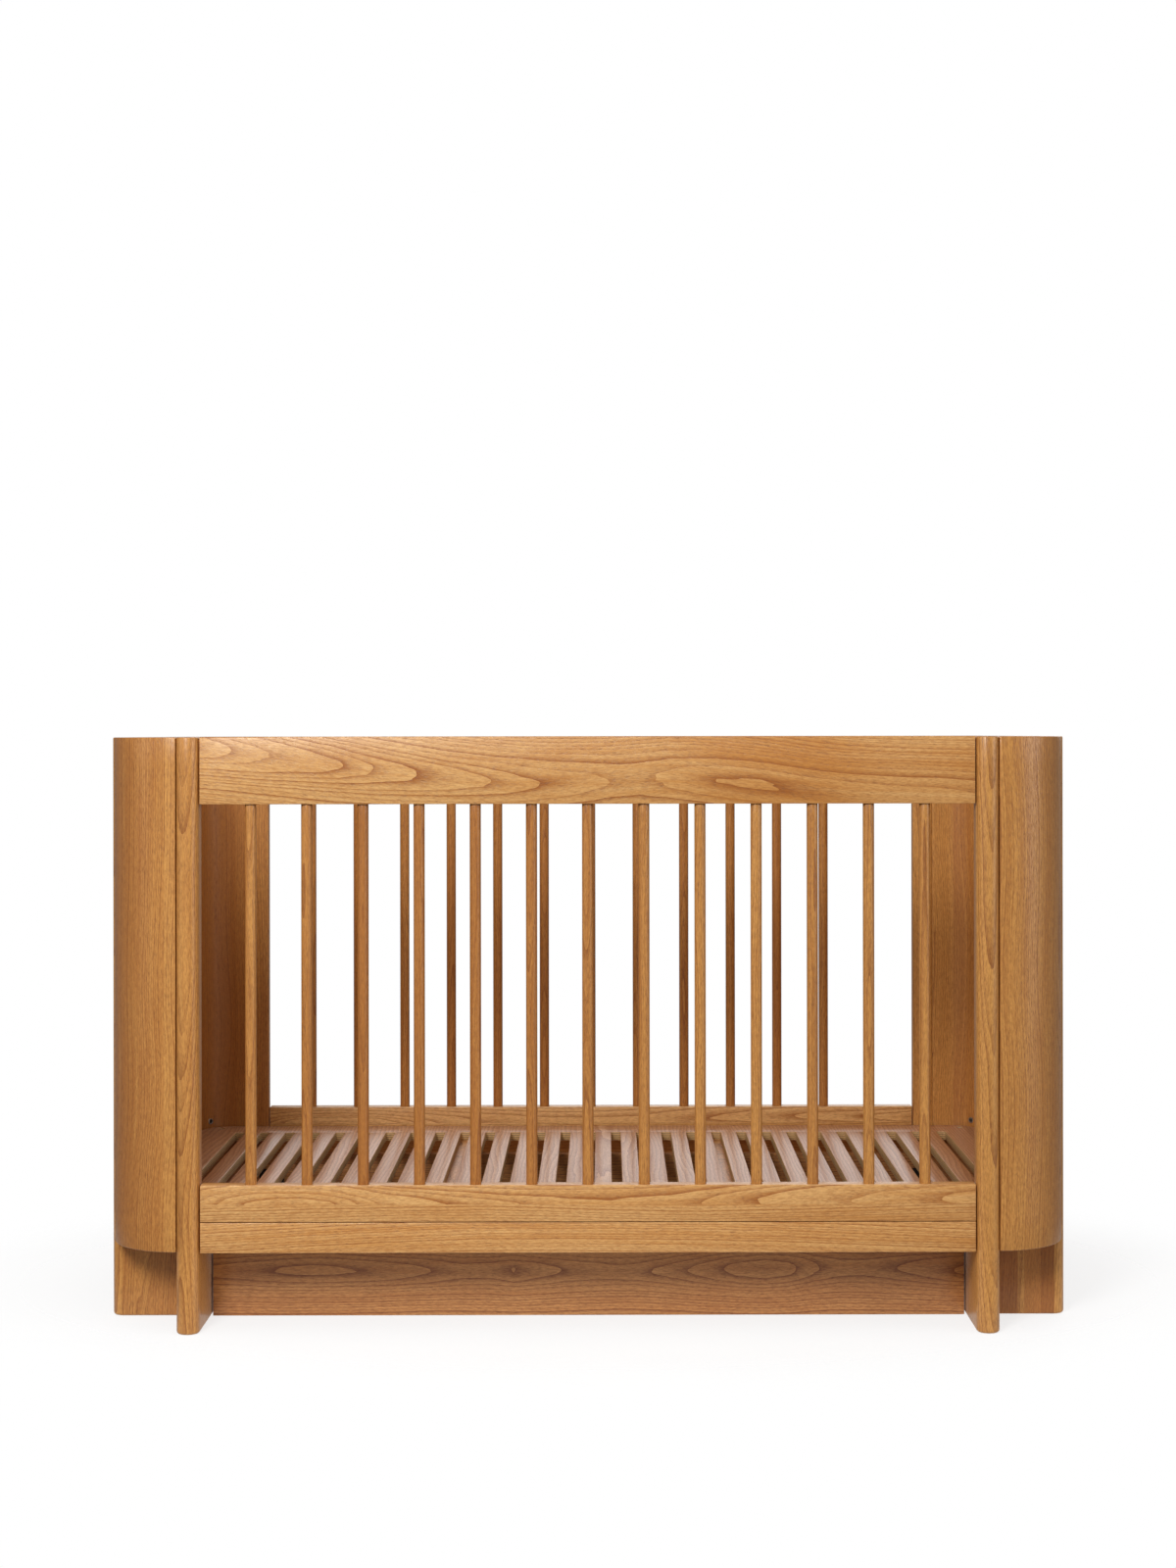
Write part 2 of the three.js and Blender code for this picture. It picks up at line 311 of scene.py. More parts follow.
# ------------------------------------------------------------------ materials
class Signal:
    """A shader value that can be used in sums."""

    def __init__(self, shader, socket):
        self.shader = shader
        self.socket = socket

    def _math(self, operation, *values):
        return self.shader.add("ShaderNodeMath", {"operation": operation}, dict(enumerate(values)))

    def __add__(self, other):
        return self._math("ADD", self, other)

    def __sub__(self, other):
        return self._math("SUBTRACT", self, other)

    def __rsub__(self, other):
        return self._math("SUBTRACT", other, self)

    def __mul__(self, other):
        return self._math("MULTIPLY", self, other)

    def __truediv__(self, other):
        return self._math("DIVIDE", self, other)

    def __pow__(self, other):
        return self._math("POWER", self, other)

    __radd__ = __add__
    __rmul__ = __mul__

    def part(self):
        return self._math("FRACT", self)

    def whole(self):
        return self._math("FLOOR", self)

    def size(self):
        return self._math("ABSOLUTE", self)

    def between(self, low, high, start=0.0, end=1.0):
        """Goes smoothly from start to end as the value goes from low to high."""
        return self.shader.add(
            "ShaderNodeMapRange",
            {"interpolation_type": "SMOOTHSTEP"},
            {"Value": self, "From Min": low, "From Max": high, "To Min": start, "To Max": end},
        )


class Shader:
    """The nodes of one material."""

    def __init__(self, name):
        self.material = bpy.data.materials.new(name)
        self.material.use_nodes = True
        self.tree = self.material.node_tree
        self.surface = self.tree.nodes["Principled BSDF"]

    def add(self, kind, settings=None, inputs=None, output=0):
        node = self.tree.nodes.new(kind)
        for key, value in (settings or {}).items():
            setattr(node, key, value)
        for key, value in (inputs or {}).items():
            self.feed(node.inputs[key], value)
        return Signal(self, node.outputs[output])

    def feed(self, socket, value):
        if isinstance(value, Signal):
            self.tree.links.new(value.socket, socket)
        else:
            socket.default_value = value

    def set(self, **inputs):
        for key, value in inputs.items():
            self.feed(self.surface.inputs[key.replace("_", " ")], value)

    def noise(self, place, scale, detail=2.0, rough=0.5, output=0):
        """Noise stretched by a scale along each direction."""
        stretched = self.vector("MULTIPLY", place, scale)
        inputs = {"Vector": stretched, "Scale": 1.0, "Detail": detail, "Roughness": rough}
        return self.add("ShaderNodeTexNoise", None, inputs, output)

    def vector(self, operation, *values, output=0):
        return self.add("ShaderNodeVectorMath", {"operation": operation}, dict(enumerate(values)), output)

    def scaled(self, vector, amount):
        return self.add("ShaderNodeVectorMath", {"operation": "SCALE"}, {"Vector": vector, "Scale": amount})

    def blend(self, factor, first, second):
        """A colour between two others."""
        return self.add("ShaderNodeMix", {"data_type": "RGBA"}, {0: factor, 6: first, 7: second}, output=2)

    def bump(self, height, strength, depth):
        inputs = {"Height": height, "Strength": strength, "Distance": depth}
        self.set(Normal=self.add("ShaderNodeBump", None, inputs))


def colour(red, green, blue):
    """A colour of 0 to 255 parts as light."""
    parts = []
    for value in (red, green, blue):
        c = value / 255
        parts.append(c / 12.92 if c <= 0.04045 else ((c + 0.055) / 1.055) ** 2.4)
    return (*parts, 1.0)


def oak(name, pale, warm, line, ring=4.0 * MM, gloss=0.30, line_depth=0.95, pore_depth=0.6):
    """Oiled oak: growth rings round a heart, fine fibres, pores in the early wood and glued staves."""
    s = Shader(name)
    grain = s.add("ShaderNodeAttribute", {"attribute_name": "grain"}, None, output=1)
    stave = s.add("ShaderNodeAttribute", {"attribute_name": "stave"}, None, output=2)
    tone = s.add("ShaderNodeAttribute", {"attribute_name": "tone"}, None, output=2)

    board = stave.whole()
    staved = board.between(1.1, 1.9)
    lot = s.add("ShaderNodeTexWhiteNoise", {"noise_dimensions": "1D"}, {"W": board + 0.37}, output=1)
    lot_value = s.add("ShaderNodeTexWhiteNoise", {"noise_dimensions": "1D"}, {"W": board + 7.7}, output=0)
    shift = s.vector("MULTIPLY", s.vector("SUBTRACT", lot, (0.5, 0.5, 0.5)), (0.10, 0.03, 3.0))
    place = s.vector("ADD", grain, s.scaled(shift, staved))

    sway = s.noise(place, (6, 6, 1.6), 1.0, 0.5, output=1)
    sway = s.vector("MULTIPLY", s.vector("SUBTRACT", sway, (0.5, 0.5, 0.5)), (0.016, 0.012, 0.0))
    ripple = s.noise(place, (48, 48, 8.0), 2.0, 0.5, output=1)
    ripple = s.vector("MULTIPLY", s.vector("SUBTRACT", ripple, (0.5, 0.5, 0.5)), (0.0042, 0.0030, 0.0))
    bent = s.vector("ADD", s.vector("ADD", place, sway), ripple)
    radius = s.vector("LENGTH", s.vector("MULTIPLY", bent, (1, 1, 0)), output=1)
    rate = {"W": radius * 70.0, "Scale": 1.0, "Detail": 1.0}
    uneven = s.add("ShaderNodeTexNoise", {"noise_dimensions": "1D"}, rate)
    rings = radius / ring + uneven * 2.4
    phase = rings.part()
    early = (1.0 - phase) ** 3.4
    band = (1.0 - phase) ** 1.5
    year = s.add("ShaderNodeTexWhiteNoise", {"noise_dimensions": "1D"}, {"W": rings.whole()}, output=0)

    fibre = s.noise(place, (620, 620, 95), 3.0, 0.65)
    streak = s.noise(place, (120, 120, 2.6), 3.0, 0.6)
    cloud = s.noise(place, (12, 12, 2.0), 2.0, 0.5)
    dash = s.noise(place, (1000, 1000, 120), 1.0, 0.5).between(0.54, 0.70)
    pores = dash * (0.3 + 0.7 * band)

    warmth = tone * 0.6 + cloud * 0.4 + (lot_value - 0.5) * staved * 0.45 + (streak - 0.5) * 0.8
    plain = s.blend(warmth.between(0.1, 0.9), pale, warm)
    body = s.blend(tone.between(1.0, 2.0) * 0.8, plain, line)
    ring_ink = (early * 0.9 + band * 0.2) * (0.45 + year * 0.55) * (0.6 + fibre) * line_depth
    ringed = s.blend(ring_ink, body, line)
    fibred = s.blend(fibre.between(0.38, 0.64) * 0.42, ringed, line)
    dark_pore = tuple(c * 0.55 for c in line[:3]) + (1.0,)
    pored = s.blend(pores * pore_depth, fibred, dark_pore)
    seam_gap = (stave.part() - 0.5).size().between(0.4945, 0.4990)
    finished = s.blend(seam_gap * 0.5, pored, dark_pore)

    s.set(
        Base_Color=finished,
        Roughness=gloss + (fibre - 0.5) * 0.16 + pores * 0.2,
    )
    s.surface.inputs["Specular IOR Level"].default_value = 0.5
    s.bump(fibre * 0.35 - pores * 0.8 - early * 0.2 - seam_gap * 1.5, 0.35, 0.5 * MM)
    return s.material


PLY_BOTTOM = 188.4 * MM
PLY_THICKNESS = 3.2 * MM
VENEER_RING = 6.4 * MM


def veneered_ply(name, pale, warm, line):
    """Lacquered veneer on the faces and banded plies on the edges."""
    s = Shader(name)
    grain = s.add("ShaderNodeAttribute", {"attribute_name": "grain"}, None, output=1)
    spot = s.add("ShaderNodeTexCoord", None, None, output=3)
    normal = s.add("ShaderNodeTexCoord", None, None, output=1)

    sway = s.noise(grain, (7, 7, 1.2), 2.0, 0.55, output=1)
    sway = s.vector("MULTIPLY", s.vector("SUBTRACT", sway, (0.5, 0.5, 0.5)), (0.08, 0.08, 0.0))
    ripple = s.noise(grain, (70, 70, 12.0), 2.0, 0.5, output=1)
    ripple = s.vector("MULTIPLY", s.vector("SUBTRACT", ripple, (0.5, 0.5, 0.5)), (0.006, 0.006, 0.0))
    bent = s.vector("ADD", s.vector("ADD", grain, sway), ripple)
    radius = s.vector("LENGTH", s.vector("MULTIPLY", bent, (1, 1, 0)), output=1)
    phase = (radius / VENEER_RING).part()
    early = (1.0 - phase) ** 1.5
    streak = s.noise(grain, (60, 60, 1.6), 3.0, 0.6)
    fibre = s.noise(grain, (620, 620, 60), 2.0, 0.6)
    body = s.blend(streak.between(0.3, 0.7), pale, warm)
    ringed = s.blend(early * (0.4 + fibre * 0.9), body, line)
    face = s.blend(fibre.between(0.4, 0.66) * 0.35, ringed, line)

    height = s.add("ShaderNodeSeparateXYZ", None, {0: spot}, output=2)
    ply = ((height - PLY_BOTTOM) / PLY_THICKNESS).part()
    band = (ply - 0.5).size().between(0.34, 0.42)
    grit = s.noise(spot, (300, 300, 500), 2.0, 0.6)
    band_colour = s.blend(band, colour(212, 170, 112), colour(84, 54, 32))
    edge = s.blend(grit.between(0.3, 0.75) * 0.3, band_colour, colour(122, 86, 52))
    up = s.add("ShaderNodeSeparateXYZ", None, {0: normal}, output=2).size()
    side_on = up.between(0.35, 0.65, 1.0, 0.0)
    s.set(Base_Color=s.blend(side_on, face, edge), Roughness=0.34 + side_on * 0.3 + (fibre - 0.5) * 0.12)
    s.surface.inputs["Specular IOR Level"].default_value = 0.55
    s.bump(fibre * 0.3 - early * 0.2 - band * side_on * 0.8, 0.3, 0.4 * MM)
    return s.material


def steel(name, tint, rough):
    """Blackened or bright steel with a fine brushed unevenness."""
    s = Shader(name)
    spot = s.add("ShaderNodeTexCoord", None, None, output=3)
    mottle = s.noise(spot, (700, 700, 700), 3.0, 0.6)
    s.set(
        Base_Color=s.blend(mottle.between(0.3, 0.8), tint, tuple(c * 0.6 for c in tint[:3]) + (1.0,)),
        Roughness=rough + (mottle - 0.5) * 0.25,
        Metallic=0.9,
    )
    return s.material


OAK_RAIL = oak("oak_rail", colour(230, 182, 118), colour(198, 133, 63), colour(158, 93, 39))
OAK = oak("oak_upright", colour(214, 154, 82), colour(184, 120, 58), colour(140, 80, 34), line_depth=0.7)
OAK_PLINTH = oak("oak_plinth", colour(216, 158, 96), colour(188, 124, 68), colour(130, 74, 40))
PLY = veneered_ply("veneered_ply", colour(208, 160, 120), colour(190, 138, 96), colour(144, 84, 50))
BLACK_STEEL = steel("black_steel", colour(52, 50, 48), 0.42)
BRIGHT_STEEL = steel("bright_steel", colour(176, 172, 164), 0.3)


def finish(piece, material, node=None, body=FRAME_BODY):
    """Gives a piece its material and says which part of the cot it is."""
    if not piece.data.materials:
        piece.data.materials.append(material)
    if node:
        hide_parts(node)
    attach(piece, body)


# ------------------------------------------------------------------- posts
CORNERS = [
    (side, end, end == "left", side == "rear") for side in ("front", "rear") for end in ("left", "right")
]


def post(node, nose, foot):
    """An upright board with a bullnose on one edge and a deeper foot.

    nose is the outward direction of the bullnose; foot is the height of the foot's top.
    """
    low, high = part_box(node)
    outward = Vector(nose)
    axis = 0 if abs(outward.x) > 0.5 else 1
    body_low, body_high = Vector(low), Vector(high)
    if outward[axis] > 0:
        body_low[axis] = high[axis] - POST_DEPTH
    else:
        body_high[axis] = low[axis] + POST_DEPTH
    piece = block(node + "_wood", body_low, body_high)
    edit(piece, "faces", lambda f: True, lambda: bpy.ops.mesh.bisect(
        plane_co=(0, 0, foot), plane_no=(0, 0, 1)
    ))
    reach = (high[axis] - low[axis]) - POST_DEPTH
    push = -outward * reach
    edit(
        piece,
        "faces",
        lambda f: f.normal.dot(outward) < -0.9 and f.calc_center_median().z < foot,
        lambda: bpy.ops.mesh.extrude_region_move(TRANSFORM_OT_translate={"value": push}),
    )
    face = high[axis] if outward[axis] > 0 else low[axis]
    round_edges(
        piece,
        lambda e: upright(e) and abs(e.verts[0].co[axis] - face) < TINY,
        NOSE_RADIUS,
        NOSE_STEPS,
    )
    round_edges(piece, lambda e: level(e, 0.0), FOOT_ROUND, EDGE_STEPS)
    soften(piece, POST_ROUND)
    return sliced(piece, 2, POST_SLICES)


def staved_board(piece, place, lines, tones):
    """Gives each stave of a board its own tone and its own piece of the log.

    place gives the distance across the staves for a point; lines are the places of the glue lines.
    """
    for name in ("stave", "tone"):
        piece.data.attributes.remove(piece.data.attributes[name])
    places = [place(face.center) for face in piece.data.polygons]
    numbers = [sum(far > line for line in lines) for far in places]
    shades = [tones[n](far) if callable(tones[n]) else tones[n] for n, far in zip(numbers, places)]
    for name, values in (("stave", [n + 1.5 if n else 0.5 for n in numbers]), ("tone", shades)):
        piece.data.attributes.new(name, "FLOAT", "FACE").data.foreach_set("value", values)


FOOT_LINES = (0.668, 0.678, 0.704, 0.7248)
# Tones of each foot's staves, from the post out to the nose. The front_right stave next to the post is
# darkened as a painted shadow of the post, on top of its wood tone.
FOOT_TONES_AND_PAINTED_SHADOW = {
    "front_left": (0.6, 0.5, 0.45, 0.5, 0.3),
    "front_right": (1.3, 0.2, 0.8, 1.5, 0.0),
    "rear_left": (0.6, 0.5, 0.55, 0.6, 0.4),
    "rear_right": (0.5, 0.4, 0.55, 0.45, 0.5),
}
side_post = post("front_right_post", (0, -1, 0), FOOT_TOP)
end_post = post("front_right_end_post", (1, 0, 0), FOOT_TOP)
for line in FOOT_LINES:
    edit(end_post, "faces", lambda f: True, lambda: bpy.ops.mesh.bisect(
        plane_co=(line, 0, 0), plane_no=(1, 0, 0)
    ))
HEART_LEAN = 0.028


def leaning(heart):
    """A heart that lies deeper in the board towards the top, which draws pointed figures on its face."""
    return lambda far: (heart(far)[0], heart(far)[1] + HEART_LEAN * far)


POST_TONES = {"front_left": 0.25, "front_right": 0.05, "rear_left": 0.6, "rear_right": -0.4}
for side, end, flip_x, flip_y in CORNERS:
    corner = f"{side}_{end}"
    for model, kind, across, through in ((side_post, "post", X, Y), (end_post, "end_post", Y, X)):
        node = f"{corner}_{kind}"
        piece = copied(model, node + "_wood_piece", flip_x=flip_x, flip_y=flip_y)
        low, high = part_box(node)
        width, depth = (0, 1) if across is X else (1, 0)
        face = high[depth] if (flip_y if across is X else not flip_x) else low[depth]
        inward = -1 if face > 0 else 1
        heart = wander(
            (low[width] + high[width]) / 2 + rng.choice((-1, 1)) * rng.uniform(0.014, 0.024),
            face + inward * rng.uniform(0.034, 0.048),
            high[2], 0.004, 0.004,
        )
        lay(piece, Z, across, through, leaning(heart), tone=POST_TONES[corner])
        if kind == "end_post":
            staved_board(piece, lambda p: abs(p.x), FOOT_LINES, FOOT_TONES_AND_PAINTED_SHADOW[corner])
        finish(piece, OAK, node)
for model in (side_post, end_post):
    bpy.data.objects.remove(model)


# ----------------------------------------------------------- corner shells
# The inner face of a shell runs straight for this share of its strip at each end
SHELL_LEAD = 0.2
SHELL_RADIUS = 110 * MM
SHELL_ARC = 173 * MM


def corner_shell(joint):
    """The quarter-round wall of the front right corner, with its low insert hole.

    joint is the rounding of the upright edges that meet the posts.
    """
    low, high = (Vector(c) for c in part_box("front_right_shell"))
    if joint == TIGHT_JOINT:
        low.x -= JOINT_FILL
    straight = high.x - SHELL_WALL - SHELL_INNER_RADIUS - low.x
    turn = Vector((low.x + straight, high.y - straight))
    piece = block("shell_model", (0, 0, low.z), (1, 1, high.z))
    sliced(piece, 0, SHELL_STEPS)
    for vertex in piece.data.vertices:
        far, inside = vertex.co.x, vertex.co.y > 0.5
        turned = max(0, min(1, (far - SHELL_LEAD) / (1 - 2 * SHELL_LEAD))) if inside else far
        angle = math.pi / 2 * turned
        if not inside:
            vertex.co.x = low.x + (high.x - low.x) * math.sin(angle)
            vertex.co.y = high.y - (high.y - low.y) * math.cos(angle)
        else:
            before = max(0, SHELL_LEAD - far) / SHELL_LEAD
            after = max(0, far - (1 - SHELL_LEAD)) / SHELL_LEAD
            vertex.co.x = turn.x + SHELL_INNER_RADIUS * math.sin(angle) - straight * before
            vertex.co.y = turn.y - SHELL_INNER_RADIUS * math.cos(angle) + straight * after
    for height in (low.z, high.z):
        round_edges(piece, lambda e: level(e, height), SHELL_ROUND, EDGE_STEPS)
    soften(piece, joint)
    sliced(piece, 2, POST_SLICES)
    reach = SHELL_INNER_RADIUS * math.sqrt(0.5)
    mouth = Vector((turn.x + reach, turn.y - reach, INSERT_Z))
    outward = Vector((1, -1, 0)).normalized()
    through = outward * HOLE_REACH
    cut(piece, rod("insert_hole", mouth - through, mouth + through, INSERT_RADIUS, HOLE_SIDES))
    front, back = mouth - outward * FLANGE_PROUD, mouth + outward * FLANGE_SUNK
    sleeve = rod("insert", front, back, FLANGE_RADIUS, ROUND_SIDES)
    edit(sleeve, "faces", lambda f: f.normal.dot(outward) > 0.9, lambda: (
        bpy.ops.mesh.inset(thickness=FLANGE_RING),
        bpy.ops.mesh.extrude_region_move(TRANSFORM_OT_translate={"value": outward * SLEEVE_LENGTH}),
    ))
    edit(sleeve, "faces", lambda f: f.normal.dot(outward) < -0.9, lambda: (
        bpy.ops.mesh.inset(thickness=SLEEVE_RING),
        bpy.ops.mesh.extrude_region_move(TRANSFORM_OT_translate={"value": outward * SLEEVE_BORE}),
    ))
    soften(sleeve, 0.2 * MM, 2)
    return piece, sleeve, Vector((low.x, high.y, 0))


shell_models = {"left": corner_shell(TIGHT_JOINT), "right": corner_shell(SHELL_ROUND)}
# Tones of each shell's wide stave and narrow stave. The rear_left wide stave is darkened as painted shade
# on its inner wall, on top of its wood tone.
SHELL_TONES_AND_PAINTED_SHADE = {
    "front_left": (lambda far: 0.95 - far * 2.8, -0.2),
    "front_right": (lambda far: 0.62 - far * 2.0, 0.0),
    "rear_left": (1.15, 0.7),
    "rear_right": (0.6, -0.5),
}
NARROW_STAVES = {"front_left": 17 * MM, "front_right": 15 * MM, "rear_left": 30 * MM, "rear_right": 50 * MM}
SHELL_HEARTS = {
    "front_left": (0.26, 0.10),
    "front_right": (0.045, 0.085),
    "rear_left": (0.30, 0.10),
    "rear_right": (0.22, 0.09),
}
for side, end, flip_x, flip_y in CORNERS:
    corner = f"{side}_{end}"
    shell_model, sleeve_model, shell_centre = shell_models[end]
    piece = copied(shell_model, corner + "_shell_wood", flip_x=flip_x, flip_y=flip_y)
    centre = shell_centre.copy()
    sign_x, sign_y = (-1 if flip_x else 1), (-1 if flip_y else 1)

    def round_the_corner(p, c=centre, sx=sign_x, sy=sign_y):
        """Distance along the quarter circle from the end post."""
        return math.atan2(max(c.y - sy * p.y, 0.0), max(sx * p.x - c.x, 0.0)) * SHELL_RADIUS

    def into_the_wall(p, c=centre, sx=sign_x, sy=sign_y):
        return math.hypot(sx * p.x - c.x, c.y - sy * p.y)

    heart = wander(*SHELL_HEARTS[corner], 0.9, 0.010, 0.007)
    lay(piece, Z, round_the_corner, into_the_wall, heart)
    staved_board(piece, round_the_corner, (SHELL_ARC - NARROW_STAVES[corner],), SHELL_TONES_AND_PAINTED_SHADE[corner])
    piece.data.materials.append(OAK)
    sleeve = copied(sleeve_model, corner + "_insert", flip_x=flip_x, flip_y=flip_y)
    sleeve.data.materials.append(BRIGHT_STEEL)
    joined(piece, [sleeve])
    finish(piece, OAK, f"{corner}_shell")
for shell_model, sleeve_model, shell_centre in shell_models.values():
    bpy.data.objects.remove(shell_model)
    bpy.data.objects.remove(sleeve_model)


# ------------------------------------------------------------------- rails
BAR_COUNT = 13
BAR_PITCH = 85 * MM


def bores(y, z):
    """The blind holes for the bars, as one cutter."""
    first = rod("bore", (0, y, z - BORE_DEPTH), (0, y, z + BORE_DEPTH), BORE_RADIUS, BORE_SIDES)
    places = [(i - (BAR_COUNT - 1) / 2) * BAR_PITCH for i in range(BAR_COUNT)]
    rods = [copied(first, f"bore_{i}", move=(x, 0, 0)) for i, x in enumerate(places)]
    bpy.data.objects.remove(first)
    return joined(rods[0], rods[1:])


def board(node, bore_z=None, axis=0):
    """A plain board with rounded edges, sliced along its grain and, at a height, bored for the bars."""
    low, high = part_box(node)
    piece = block(node + "_wood", low, high)
    soften(piece)
    sliced(piece, axis, RAIL_SLICES)
    if bore_z is not None:
        cut(piece, bores((low[1] + high[1]) / 2, bore_z))
    return piece


def strip(name, low, high, joint_z):
    """One of two boards that are glued edge to edge: its edges are rounded, but not at the joint."""
    piece = block(name, low, high)
    round_edges(
        piece,
        lambda e: not all(abs(v.co.z - joint_z) < TINY for v in e.verts),
        EDGE_ROUND,
        EDGE_STEPS,
    )
    take(piece)
    bpy.ops.object.shade_smooth_by_angle(angle=math.radians(SHARP_ANGLE))
    return sliced(piece, 0, RAIL_SLICES)


# Where the heart of the log lies in each board: (place along, height) and (place along, depth)
TOP_HEART = (
    curve([
        (-0.585, 0.884), (-0.55, 0.8795), (-0.30, 0.8466), (-0.13, 0.8305), (0, 0.832), (0.12, 0.838),
        (0.24, 0.826), (0.40, 0.806), (0.59, 0.802),
    ]),
    curve([(-0.585, 0.034), (-0.30, 0.0495), (0.0, 0.0655), (0.07, 0.068), (0.2, 0.063), (0.59, 0.063)]),
)
TOP_TONE = curve([
    (-0.59, 0.3), (-0.3, 0.26), (-0.12, 0.4), (0.06, 0.5), (0.34, 0.8), (0.46, 0.46), (0.59, 0.5),
])
UPPER_HEART = (
    curve([(-0.59, 0.193), (-0.35, 0.193), (0.0, 0.196), (0.25, 0.203), (0.59, 0.206)]),
    curve([
        (-0.585, 0.0433), (-0.52, 0.0364), (-0.4545, 0.034), (-0.39, 0.0364), (-0.32, 0.0439),
        (-0.20, 0.051), (0.0, 0.056), (0.12, 0.0555), (0.252, 0.051), (0.341, 0.047), (0.437, 0.043),
        (0.59, 0.038),
    ]),
)
LOWER_HEART = (
    curve([(-0.59, 0.040), (-0.2, 0.052), (0.2, 0.044), (0.59, 0.05)]),
    curve([(-0.59, 0.020), (0.0, 0.026), (0.59, 0.018)]),
)
APRON_HEART = (
    curve([(-0.59, 0.012), (-0.2, 0.032), (0.15, 0.030), (0.59, 0.016)]),
    curve([(-0.59, 0.030), (0.0, 0.042), (0.59, 0.030)]),
)
GLUE_Z = 195 * MM
GLUE_GAP = 0.04 * MM


def heart_at(height_and_depth, face, inward):
    height, depth = height_and_depth
    return lambda far: (height(far), face + inward * depth(far))


for side, body in (("front", SIDE_BODY), ("rear", FRAME_BODY)):
    node = f"{side}_top_rail"
    low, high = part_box(node)
    inward = 1 if side == "front" else -1
    face = low[1] if side == "front" else high[1]
    middle_y = (low[1] + high[1]) / 2
    piece = board(node, low[2])
    lay(piece, X, Z, Y, heart_at(TOP_HEART, face, inward), tone=lambda p: TOP_TONE(p.x))
    finish(piece, OAK_RAIL, node, body)

    node = f"{side}_bottom_rail"
    low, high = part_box(node)
    upper = strip(f"{side}_upper_strip", (low[0], low[1], GLUE_Z + GLUE_GAP), high, GLUE_Z + GLUE_GAP)
    cut(upper, bores(middle_y, high[2]))
    lay(upper, X, Z, Y, heart_at(UPPER_HEART, face, inward), tone=0.3 if side == "front" else 0.1)
    lower = strip(f"{side}_lower_strip", low, (high[0], high[1], GLUE_Z), GLUE_Z)
    lay(lower, X, Z, Y, heart_at(LOWER_HEART, face, inward), tone=lambda p: 0.34 + 0.3 * p.x)
    finish(joined(upper, [lower]), OAK_RAIL, node, body)

    node = f"{side}_apron"
    low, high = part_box(node)
    piece = board(node)
    lay(piece, X, Z, Y, heart_at(APRON_HEART, face, inward), tone=0.5)
    finish(piece, OAK_RAIL, node)

# -------------------------------------------------------------------- bars
low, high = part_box("front_bar_01")
bar_model = rod("bar_model", (0, 0, low[2]), (0, 0, high[2]), (high[0] - low[0]) / 2, BAR_SIDES)
soften(bar_model, 1 * MM, 2)
sliced(bar_model, 2, POST_SLICES)
FRONT_TONES = (0.4, 0.65, 1.2, 0.85, 1.0, 0.7, 0.62, 0.5, 0.22, 0.12, 0.52, 0.3, 0.35)
for side, body in (("front", SIDE_BODY), ("rear", FRAME_BODY)):
    for i in range(BAR_COUNT):
        node = f"{side}_bar_{i + 1:02d}"
        low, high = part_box(node)
        x, y = (low[0] + high[0]) / 2, (low[1] + high[1]) / 2
        piece = copied(bar_model, node + "_wood", move=(x, y, 0))
        turn = rng.uniform(0, 2 * math.pi)
        away = rng.uniform(0.03, 0.09)
        heart = wander(x + math.cos(turn) * away, y + math.sin(turn) * away, high[2], 0.006, 0.006)
        tone = FRONT_TONES[i] if side == "front" else rng.uniform(0.5, 0.95)
        lay(piece, Z, X, Y, heart, tone=tone)
        finish(piece, OAK, node, body)
bpy.data.objects.remove(bar_model)

# ----------------------------------------------------- end panels, plinths
PANEL_STAVES = [-0.24, -0.15, -0.062, 0.03, 0.115, 0.19, 0.24]
PLINTH_HEART = (
    lambda far: 0.070,
    curve([
        (-0.585, 0.030), (-0.39, 0.026), (-0.22, 0.034), (-0.17, 0.036), (-0.117, 0.033), (-0.05, 0.037),
        (0.05, 0.039), (0.111, 0.036), (0.2806, 0.022), (0.36, 0.031), (0.4165, 0.034), (0.58, 0.026),
    ]),
)
for end, sign in (("left", -1), ("right", 1)):
    node = f"{end}_end_panel"
    low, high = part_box(node)
    face = high[0] if sign > 0 else low[0]
    piece = board(node, axis=2)
    lay(piece, Z, Y, X, wander(-0.195, face - sign * 0.05, high[2]), PANEL_STAVES, 0.5)
    finish(piece, OAK, node)
    node = f"{end}_end_plinth"
    low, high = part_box(node)
    face = high[0] if sign > 0 else low[0]
    piece = board(node, axis=1)
    lay(piece, Y, Z, X, heart_at(PLINTH_HEART, face, -sign), tone=0.6)
    finish(piece, OAK_PLINTH, node)
    for kind in ("end_batten", "mid_batten"):
        node = f"{end}_{kind}"
        low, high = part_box(node)
        piece = board(node, axis=1)
        heart = wander((low[0] + high[0]) / 2, low[2] - 0.05, 0.3)
        lay(piece, Y, X, Z, heart, tone=0.5)
        finish(piece, OAK_PLINTH, node)
for side in ("front", "rear"):
    node = f"{side}_plinth"
    low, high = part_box(node)
    inward = 1 if side == "front" else -1
    piece = board(node)
    lay(piece, X, Z, Y, heart_at(PLINTH_HEART, low[1] if side == "front" else high[1], inward), tone=0.6)
    finish(piece, OAK_PLINTH, node)

